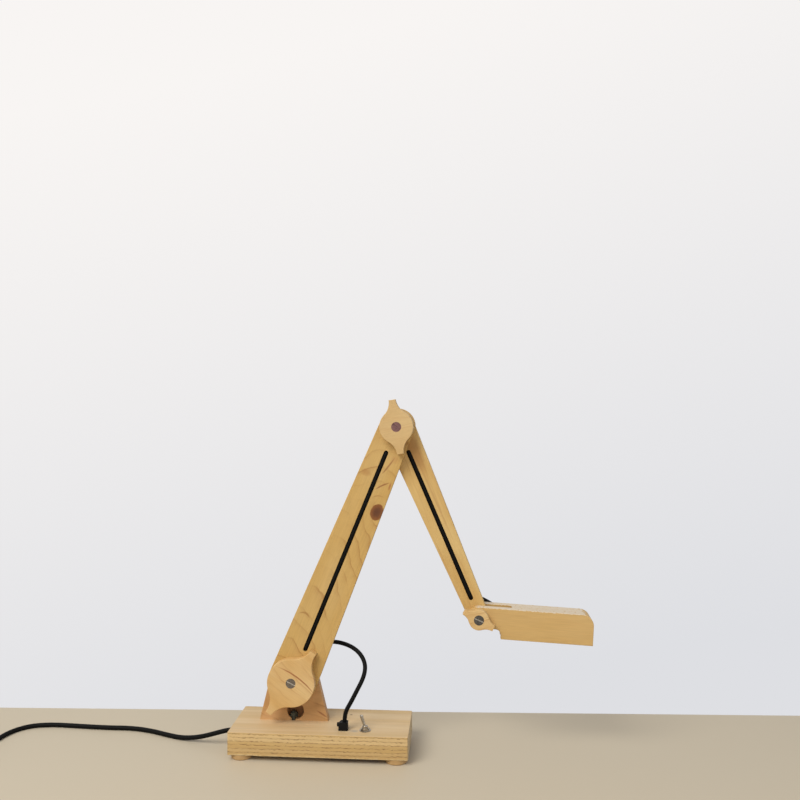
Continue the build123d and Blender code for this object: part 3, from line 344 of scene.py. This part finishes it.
band = add(tree, "Mapping", {"Vector": mm, "Scale": (0.004, 0.07, 0.2)}).outputs[0]
band = add(tree, "TexNoise", {"Vector": band, "Scale": 1.0, "Detail": 3.0}).outputs[0]
# sawn edges: every other ply shows end grain and is darker, the lower plies are browner, partly
# with painted shade that deepens towards the table, and the lowest millimetre is palest
layers = add(tree, "Math", {0: ply, 1: 2.0}, operation="PINGPONG").outputs[0]
layers = add(tree, "MapRange", {0: layers, 1: 0.7, 2: 1.3, 3: 0.0, 4: 1.0}).outputs[0]
edge = add(tree, "Mix", {0: layers, 6: hexed("d9bb87"), 7: hexed("ccab72")}, data_type="RGBA").outputs[2]
# painted shade in part: the edge darkens from 13 mm down to 3 mm above the underside
low = add(tree, "MapRange", {0: xyz.outputs[2], 1: 13.0, 2: 3.0, 3: 0.0, 4: 0.6}).outputs[0]
edge = add(tree, "Mix", {0: low, 6: edge, 7: hexed("b89458")}, data_type="RGBA").outputs[2]
lowest = add(tree, "MapRange", {0: ply, 1: -0.85, 2: -0.62, 3: 1.0, 4: 0.0}).outputs[0]
edge = add(tree, "Mix", {0: lowest, 6: edge, 7: hexed("e0c896")}, data_type="RGBA").outputs[2]
end = add(tree, "MapRange", {
    0: xyz.outputs[0], 1: right_end - 0.7, 2: right_end - 0.2, 3: 0.0, 4: 0.75,
}).outputs[0]
edge = add(tree, "Mix", {0: end, 6: edge, 7: hexed("bfae8c")}, data_type="RGBA").outputs[2]
face = add(tree, "ValToRGB", {0: band}, stops=[
    (0.3, hexed("cfb282")), (0.5, hexed("d4b88e")), (0.7, hexed("dbc29b")),
]).outputs[0]
# a small knot, and a grey patch of painted shade, on the top
for x, y, long, wide, soft, strength, colour in (
    (28.5, 20.2, 2.0, 1.7, 0.4, 0.85, "6b4a2c"), (37.5, -24.0, 7.5, 5.0, 0.0, 0.55, "8f9190"),
):
    spot = add(tree, "Mapping", {"Vector": mm, "Location": (x, y, base_top), "Scale": (long, wide, 9)},
               vector_type="TEXTURE").outputs[0]
    spot = add(tree, "VectorMath", {0: spot}, operation="LENGTH").outputs[1]
    spot = add(tree, "MapRange", {0: spot, 1: soft, 2: 1.0, 3: strength, 4: 0.0},
               interpolation_type="SMOOTHSTEP").outputs[0]
    face = add(tree, "Mix", {0: spot, 6: face, 7: hexed(colour)}, data_type="RGBA").outputs[2]
wood = add(tree, "Mix", {0: sawn, 6: face, 7: edge}, data_type="RGBA").outputs[2]
grain = add(tree, "MapRange", {0: fibre, 1: 0.3, 2: 0.7, 3: 0.9, 4: 1.05}).outputs[0]
wood = add(tree, "Mix", {0: 1.0, 6: wood, 7: grain}, data_type="RGBA", blend_type="MULTIPLY").outputs[2]
wood = add(tree, "Mix", {0: line, 6: wood, 7: hexed("7d5731")}, data_type="RGBA").outputs[2]
wood = add(tree, "Mix", {0: pits, 6: wood, 7: hexed("4a2f1c")}, data_type="RGBA").outputs[2]
relief = add(tree, "Math", {0: line, 1: -0.9, 2: fibre}, operation="MULTIPLY_ADD").outputs[0]
relief = add(tree, "Math", {0: pits, 1: -1.4, 2: relief}, operation="MULTIPLY_ADD").outputs[0]
bump = add(tree, "Bump", {"Strength": 0.5, "Distance": 0.0003, "Height": relief})
tree.links.new(wood, shader.inputs["Base Color"])
tree.links.new(bump.outputs[0], shader.inputs["Normal"])
shader.inputs["Roughness"].default_value = 0.6
dress(birch, "base_block")


# ---- boards ------------------------------------------------------------------------------
# Bracket, arms, head and wing knobs are cut from one 9 mm pine board, sanded and oiled. The
# growth rings cross each piece in its own way: thin brown lines of late wood on pale tan.
through = 90  # mm, half the depth of a knot or mark: more than any board


def pine(name, pivot, lean, pale, deep, late, rings, wander=(0.02, 1.0), arch=None, knots=(), marks=(),
         sharp=1.0, stops_at=None):
    """Oiled pine. Its grain leaves the pivot at the lean. Rings are per mm along, through and
    across; the arch bows them, as (rings per mm2, from, to, apex there, apex then). A knot is
    (along, across, half length, half width, ring bulge, its reach). A mark is a streak, a stain, or
    a patch of painted shade: (along, across, tilt, half length, half width, bow, where it fades from,
    strength, colour). The marks go through the board, or stop at a depth in mm."""
    made, tree, shader = material_named(name)
    place = add(tree, "TexCoord", {}).outputs["Object"]
    mm = add(tree, "Mapping", {
        "Vector": place, "Location": (pivot[0] / 1000, 0, pivot[1] / 1000),
        "Rotation": (0, -math.radians(lean), 0), "Scale": in_mm,
    }, vector_type="TEXTURE").outputs[0]
    phase = add(tree, "VectorMath", {0: mm, 1: rings}, operation="DOT_PRODUCT").outputs[1]
    drift = add(tree, "TexNoise", {
        "Vector": mm, "Scale": wander[0], "Detail": 3.5, "Roughness": 0.5,
    }).outputs[0]
    phase = add(tree, "Math", {0: drift, 1: wander[1], 2: phase}, operation="MULTIPLY_ADD").outputs[0]
    if arch:
        xyz = add(tree, "SeparateXYZ", {0: mm})
        apex = add(tree, "MapRange", {0: xyz.outputs[0], 1: arch[1], 2: arch[2], 3: arch[3], 4: arch[4]},
                   interpolation_type="SMOOTHSTEP").outputs[0]
        off = add(tree, "Math", {0: xyz.outputs[2], 1: apex}, operation="SUBTRACT").outputs[0]
        off = add(tree, "Math", {0: off, 1: off}, operation="MULTIPLY").outputs[0]
        phase = add(tree, "Math", {0: off, 1: arch[0], 2: phase}, operation="MULTIPLY_ADD").outputs[0]
    ragged = add(tree, "TexNoise", {"Vector": mm, "Scale": 0.35, "Detail": 3.0}).outputs[0]
    hearts = []
    for along, across, long, wide, lift, reach in knots:
        near = add(tree, "Mapping", {
            "Vector": mm, "Location": (along, 0, across), "Scale": (long, through, wide),
        }, vector_type="TEXTURE").outputs[0]
        near = add(tree, "VectorMath", {0: near}, operation="LENGTH").outputs[1]
        bulge = add(tree, "MapRange", {0: near, 1: 0.0, 2: reach, 3: lift, 4: 0.0},
                    interpolation_type="SMOOTHSTEP").outputs[0]
        phase = add(tree, "Math", {0: phase, 1: bulge}, operation="ADD").outputs[0]
        hearts.append(add(tree, "Math", {0: ragged, 1: 0.25, 2: near}, operation="MULTIPLY_ADD").outputs[0])
    part = add(tree, "Math", {0: phase}, operation="FRACT").outputs[0]
    dark = add(tree, "ValToRGB", {0: part}, stops=[
        (0.0, grey(0.06)), (0.12, grey(0)), (0.6, grey(0.08)),
        (0.86, grey(0.35)), (0.955, grey(1)), (0.99, grey(0.3)),
    ]).outputs[0]
    patchy = add(tree, "TexNoise", {"Vector": mm, "Scale": 0.035, "Detail": 2.0}).outputs[0]
    patchy = add(tree, "MapRange", {0: patchy, 1: 0.4, 2: 0.62, 3: 0.12 * sharp, 4: sharp}).outputs[0]
    dark = add(tree, "Math", {0: dark, 1: patchy}, operation="MULTIPLY").outputs[0]
    cloud = add(tree, "Mapping", {"Vector": mm, "Scale": (0.012, 0.04, 0.04)}).outputs[0]
    cloud = add(tree, "TexNoise", {"Vector": cloud, "Scale": 1.0, "Detail": 3.0}).outputs[0]
    wood = add(tree, "ValToRGB", {0: cloud}, stops=[(0.3, hexed(deep)), (0.7, hexed(pale))]).outputs[0]
    fibre = add(tree, "Mapping", {"Vector": mm, "Scale": (0.05, 1.4, 1.4)}).outputs[0]
    fibre = add(tree, "TexNoise", {"Vector": fibre, "Scale": 1.0, "Detail": 4.0}).outputs[0]
    grain = add(tree, "MapRange", {0: fibre, 1: 0.3, 2: 0.7, 3: 0.93, 4: 1.05}).outputs[0]
    wood = add(tree, "Mix", {0: 1.0, 6: wood, 7: grain}, data_type="RGBA", blend_type="MULTIPLY").outputs[2]
    wood = add(tree, "Mix", {0: dark, 6: wood, 7: hexed(late)}, data_type="RGBA").outputs[2]
    if stops_at:
        front = add(tree, "SeparateXYZ", {0: mm}).outputs[1]
        front = add(tree, "MapRange", {0: front, 1: stops_at, 2: stops_at + 0.3, 3: 1.0, 4: 0.0}).outputs[0]
    for along, across, tilt, long, wide, bow, soft, strength, colour in marks:
        spot = add(tree, "Mapping", {
            "Vector": mm, "Location": (along, 0, across), "Rotation": (0, -math.radians(tilt), 0),
            "Scale": (long, through, wide),
        }, vector_type="TEXTURE").outputs[0]
        spot = add(tree, "SeparateXYZ", {0: spot})
        run = add(tree, "Math", {0: spot.outputs[0], 1: spot.outputs[0]}, operation="MULTIPLY").outputs[0]
        side = add(tree, "Math", {0: run, 1: -bow, 2: spot.outputs[2]}, operation="MULTIPLY_ADD").outputs[0]
        waver = add(tree, "Math", {0: ragged, 1: 0.5, 2: side}, operation="MULTIPLY_ADD").outputs[0]
        side = add(tree, "Math", {0: waver, 1: 0.25}, operation="SUBTRACT").outputs[0]
        side = add(tree, "Math", {0: side, 1: side, 2: run}, operation="MULTIPLY_ADD").outputs[0]
        spot = add(tree, "MapRange", {0: side, 1: soft, 2: 1.0, 3: strength, 4: 0.0},
                   interpolation_type="SMOOTHSTEP").outputs[0]
        if stops_at:
            spot = add(tree, "Math", {0: spot, 1: front}, operation="MULTIPLY").outputs[0]
        wood = add(tree, "Mix", {0: spot, 6: wood, 7: hexed(colour)}, data_type="RGBA").outputs[2]
    for near in hearts:
        rim = add(tree, "MapRange", {0: near, 1: 1.08, 2: 1.2, 3: 1.0, 4: 0.0}).outputs[0]
        hue = add(tree, "ValToRGB", {0: near}, stops=[
            (0.0, hexed("552f1b")), (0.6, hexed("683d20")), (1.0, hexed("845126")),
        ]).outputs[0]
        wood = add(tree, "Mix", {0: rim, 6: wood, 7: hue}, data_type="RGBA").outputs[2]
    relief = add(tree, "Math", {0: dark, 1: 0.6, 2: fibre}, operation="MULTIPLY_ADD").outputs[0]
    bump = add(tree, "Bump", {"Strength": 0.22, "Distance": 0.00012, "Height": relief})
    rough = add(tree, "MapRange", {0: fibre, 1: 0.3, 2: 0.7, 3: 0.62, 4: 0.5}).outputs[0]
    tree.links.new(wood, shader.inputs["Base Color"])
    tree.links.new(rough, shader.inputs["Roughness"])
    tree.links.new(bump.outputs[0], shader.inputs["Normal"])
    shader.inputs["IOR"].default_value = 1.45
    return made


# the pivots, as x and z in mm
shoulder, elbow, head = (-31.5, 75.4), (81.106, 348.603), (167.950, 146.469)

# the lower arm's rings run across it in long bows, and round a dark knot by its right edge
dress(pine("oiled_pine_with_knot", shoulder, 67.6, "cdab6d", "c59f5a", "96632f",
           (1 / 21, 0.03, 0.0), wander=(0.02, 2.3), arch=(0.0011, 170, 240, 22, -16),
           knots=[(203, -15.0, 9.0, 6.7, 1.5, 3.4)], sharp=0.6,
           marks=[
               (253.4, -8.0, -16, 13, 1.1, 0.5, 0.2, 0.7, "8e5a34"),
               (231.5, -9.5, -43, 10, 1.0, -1.0, 0.2, 0.75, "8a4f2e"),
               (233.5, -17.4, 5, 5.5, 1.2, 0.0, 0.1, 0.65, "a05a36"),
               (219.6, -9.4, -66, 7.5, 0.9, -3.0, 0.2, 0.45, "9c6a3c"),
               # painted shadow: the next two soft patches are the elbow knob's shadow and the shade below
               # it
               (262, -12.0, 0, 5, 6, 0.0, 0.0, 0.3, "b07a48"),
               (238, 12.0, 0, 5, 6.5, 0.0, 0.0, 0.45, "a8733f"),
               (73, 15.0, 90, 7, 1.4, 3.0, 0.2, 0.5, "95622f"),
           ]), "lower_arm")
# the upper arm is straight-grained, with painted shadow of the elbow knob near its top
dress(pine("oiled_straight_pine", elbow, -66.75, "d8b97b", "c79e5b", "a6703c",
           (0.004, 0.05, 0.12), wander=(0.012, 1.2), sharp=0.4,
           marks=[
               (85, 6.2, 1, 62, 1.3, 0.0, 0.1, 0.25, "9a5f36"),
               # painted shadow of the elbow knob on the arm's top
               (30, 6.0, 0, 30, 9, 0.0, 0.1, 0.5, "a06a38"),
           ]), "upper_arm")
# the bracket is redder, and darkened with painted shade in the nut's recess, which leaves its rear face
# plain
dress(pine("oiled_pine_bracket", (-31.5, 40.0), 0.0, "d0a672", "c0925e", "8e5a30",
           (0.02, 0.04, 0.075), wander=(0.02, 1.8), sharp=0.6, stops_at=8.3,
           marks=[
               (-26, -6.0, 30, 18, 8, 0.0, 0.0, 0.6, "d2a878"),
               (30.8, -2.8, -32, 8, 1.3, 0.0, 0.1, 0.7, "8a4a2a"),
               # painted shade: the dark patch inside the nut's recess
               (1.7, 0.0, 0, 9.4, 9.4, 0.0, 0.85, 0.75, "6e4424"),
           ]), "bracket")
dress(pine("oiled_pine_knob", shoulder, -36.0, "dfc08b", "cfa566", "ad7440",
           (0.01, 0.03, 0.085), wander=(0.03, 1.3), sharp=0.5,
           marks=[(3, 9.6, 0, 29, 1.1, -4.6, 0.1, 0.85, "9c5c33")]), "shoulder_knob")
dress(pine("oiled_pine_elbow_knob", elbow, 12.0, "d5b886", "caa872", "bb8a52",
           (0.01, 0.03, 0.09), wander=(0.03, 1.0), sharp=0.25), "elbow_knob")
dress(pine("oiled_pine_head_knob", head, 20.0, "dfc08b", "cfa566", "ad7440",
           (0.01, 0.03, 0.12), wander=(0.03, 1.0), sharp=0.45), "head_knob")
# the head's face is nearly plain, its top edge paler
dress(pine("oiled_pine_head", head, -3.1, "d2af74", "caa567", "b3854d",
           (0.003, 0.08, 0.05), wander=(0.006, 0.5), sharp=0.12,
           marks=[(60, 16.6, 0, 400, 5.7, 0.0, 0.85, 0.9, "dccfbb")]),
      "head_front_cheek", "head_rear_cheek", "head_bar")


# ---- feet and cover ----------------------------------------------------------------------
# Four turned pine discs, each held by a sunk wood screw, and the hardboard cover of the hollow.
dress(pine("turned_pine_feet", (0.0, 0.0), 0.0, "c6a576", "b18d5b", "a0774a",
           (0.05, 0.3, 0.3), wander=(0.05, 1.0), sharp=0.5),
      "foot_front_left", "foot_front_right", "foot_rear_left", "foot_rear_right")
board, tree, shader = material_named("tempered_hardboard")
place = add(tree, "TexCoord", {}).outputs["Object"]
felt = add(tree, "TexNoise", {"Vector": place, "Scale": 1200.0, "Detail": 6.0, "Roughness": 0.7}).outputs[0]
tint = add(tree, "ValToRGB", {0: felt}, stops=[(0.3, hexed("5b3c25")), (0.7, hexed("7d5636"))])
bump = add(tree, "Bump", {"Strength": 0.3, "Distance": 0.0001, "Height": felt})
tree.links.new(tint.outputs[0], shader.inputs["Base Color"])
tree.links.new(bump.outputs[0], shader.inputs["Normal"])
shader.inputs["Roughness"].default_value = 0.5
dress(board, "base_cover")


# ---- bolts, screws and sleeve nuts -------------------------------------------------------
# Zinc-plated steel coach bolts and wood screws, and a weathered nut and washer in the bracket.
# The sleeve nuts in the knobs are slotted: grey in the shoulder, bronzed in the elbow and
# blackened in the head, each slot painted pale as a painted highlight.
slot_from, slot_floor = -0.0178, -0.0175  # metres, where a sleeve's slot begins and is deep


def turned(name, low, high, rough_from, rough_to, metallic, slot=None):
    """Turned or plated steel, dull between the two roughness values, with a slot's paler colour as a
    painted highlight.
    """
    made, tree, shader = material_named(name)
    place = add(tree, "TexCoord", {}).outputs["Object"]
    spangle = add(tree, "TexNoise", {"Vector": place, "Scale": 800.0, "Detail": 4.0}).outputs[0]
    tint = add(tree, "ValToRGB", {0: spangle}, stops=[(0.3, hexed(low)), (0.7, hexed(high))]).outputs[0]
    if slot:
        # painted highlight: the slot's walls and floor take a pale colour
        deep = add(tree, "SeparateXYZ", {0: place}).outputs[1]
        deep = add(tree, "MapRange", {0: deep, 1: slot_from, 2: slot_floor, 3: 0.0, 4: 1.0}).outputs[0]
        tint = add(tree, "Mix", {0: deep, 6: tint, 7: hexed(slot)}, data_type="RGBA").outputs[2]
    rough = add(tree, "MapRange", {0: spangle, 1: 0.3, 2: 0.7, 3: rough_from, 4: rough_to}).outputs[0]
    tree.links.new(tint, shader.inputs["Base Color"])
    tree.links.new(rough, shader.inputs["Roughness"])
    shader.inputs["Metallic"].default_value = metallic
    return made


dress(turned("bright_zinc_plate", "8f908c", "b4b5b0", 0.3, 0.5, 1.0),
      "shoulder_bolt", "elbow_bolt", "head_bolt", "cover_screws", "foot_screws")
dress(turned("weathered_zinc_plate", "3a3d36", "53564d", 0.45, 0.6, 0.6),
      "bracket_bolt", "bracket_washer", "bracket_nut")
dress(turned("grey_turned_sleeve", "655c52", "7c7369", 0.4, 0.55, 0.5, "d8d2c8"), "shoulder_sleeve_nut")
dress(turned("bronzed_sleeve", "6f4f4f", "815c5b", 0.5, 0.65, 0.3, "937070"), "elbow_sleeve_nut")
dress(turned("blackened_sleeve", "45423f", "615d58", 0.4, 0.55, 0.5, "c9c4bb"), "head_sleeve_nut")


# ---- light strip, switch and driver ------------------------------------------------------
# A rigid white LED strip with eleven phosphor chips, the switch's resin body, its wires and
# the driver in its white case.
def plain(name, low, high, scale, rough):
    """A plain smooth material whose colour drifts a little between two values."""
    made, tree, shader = material_named(name)
    place = add(tree, "TexCoord", {}).outputs["Object"]
    cloud = add(tree, "TexNoise", {"Vector": place, "Scale": scale, "Detail": 3.0}).outputs[0]
    tint = add(tree, "ValToRGB", {0: cloud}, stops=[(0.3, hexed(low)), (0.7, hexed(high))])
    tree.links.new(tint.outputs[0], shader.inputs["Base Color"])
    shader.inputs["Roughness"].default_value = rough
    return made


dress(plain("white_solder_resist", "e9e9e4", "f4f4f0", 300, 0.35), "led_board")
dress(plain("yellow_phosphor", "e2c24a", "efd566", 900, 0.4), "led_chips")
dress(plain("red_switch_resin", "5a1512", "6d1c17", 300, 0.4), "switch_body")
dress(plain("red_wire_sleeve", "8c1a14", "a0241c", 300, 0.45), "switch_wires")
dress(plain("white_driver_case", "d9d9d4", "e6e6e2", 500, 0.5), "led_driver")


# ---- floor and light ---------------------------------------------------------------------
# A plain pale table top that ends behind the lamp, a large soft light at the upper left, and
# a pale surround.
bpy.ops.object.select_all(action="DESELECT")
bpy.ops.mesh.primitive_plane_add(size=1)
floor = bpy.context.object
floor.name = "table_top"
edge_x, edge_y = 0.076, 0.1104  # the middle of its rear edge, in metres
level, slant = 0.9989, 0.0466  # that edge runs 2.67 degrees off X
half_width, depth = 3.0, 3.6
for corner in floor.data.vertices:
    side = half_width if corner.co.x > 0 else -half_width
    back = 0.0 if corner.co.y > 0 else -depth
    corner.co = (edge_x + level * side - slant * back, edge_y + slant * side + level * back, 0.0)
top, tree, shader = material_named("pale_table_top")
shader.inputs["Base Color"].default_value = hexed("cbc0ac")
shader.inputs["Roughness"].default_value = 0.6
floor.data.materials.append(top)


def softbox(name, place, aim, size, watts, colour):
    """A round soft light at a place, aimed at a point, in metres."""
    lamp = bpy.data.lights.new(name, "AREA")
    lamp.shape = "DISK"
    lamp.size = size
    lamp.energy = watts
    lamp.color = hexed(colour)[:3]
    made = bpy.data.objects.new(name, lamp)
    made.location = place
    made.rotation_euler = (aim - made.location).to_track_quat("-Z", "Y").to_euler()
    bpy.context.scene.collection.objects.link(made)


middle = sum(cad_box, cad_box[0] * 0) / 2
softbox("window", (-1.0, -1.5, 2.0), middle, size=1.7, watts=51, colour="fffaf0")
softbox("room", (1.6, -1.6, 1.2), middle, size=2.0, watts=8, colour="f4f6ff")

surround = bpy.data.worlds.new("pale_surround")
bpy.context.scene.world = surround
surround.use_nodes = True
tree = surround.node_tree
sky = tree.nodes["Background"]
sky.inputs[0].default_value = hexed("f1f0ee")
sky.inputs[1].default_value = 0.42
# painted light on the wall behind: it is lightest at its upper left, where the light falls on it
lighter = (-0.289, -0.021, 1.0)  # the way in which it gets lighter
way = add(tree, "TexCoord", {}).outputs["Generated"]
lit = add(tree, "VectorMath", {0: way, 1: lighter}, operation="DOT_PRODUCT").outputs[1]
wall = add(tree, "MapRange", {0: lit, 1: -0.36, 2: 0.42, 3: 0.0, 4: 1.0}).outputs[0]
wall = add(tree, "Mix", {0: wall, 6: hexed("dedfe3"), 7: hexed("f8f5f3")}, data_type="RGBA").outputs[2]
seen = add(tree, "Background", {0: wall, 1: 1.0}).outputs[0]
rays = add(tree, "LightPath", {})
shown = rays.outputs["Is Camera Ray"]
for kind in ("Is Glossy Ray", "Is Transmission Ray"):
    shown = add(tree, "Math", {0: shown, 1: rays.outputs[kind]}, operation="MAXIMUM").outputs[0]
both = add(tree, "MixShader", {0: shown, 1: sky.outputs[0], 2: seen}).outputs[0]
tree.links.new(both, tree.nodes["World Output"].inputs[0])

bpy.context.view_layer.update()
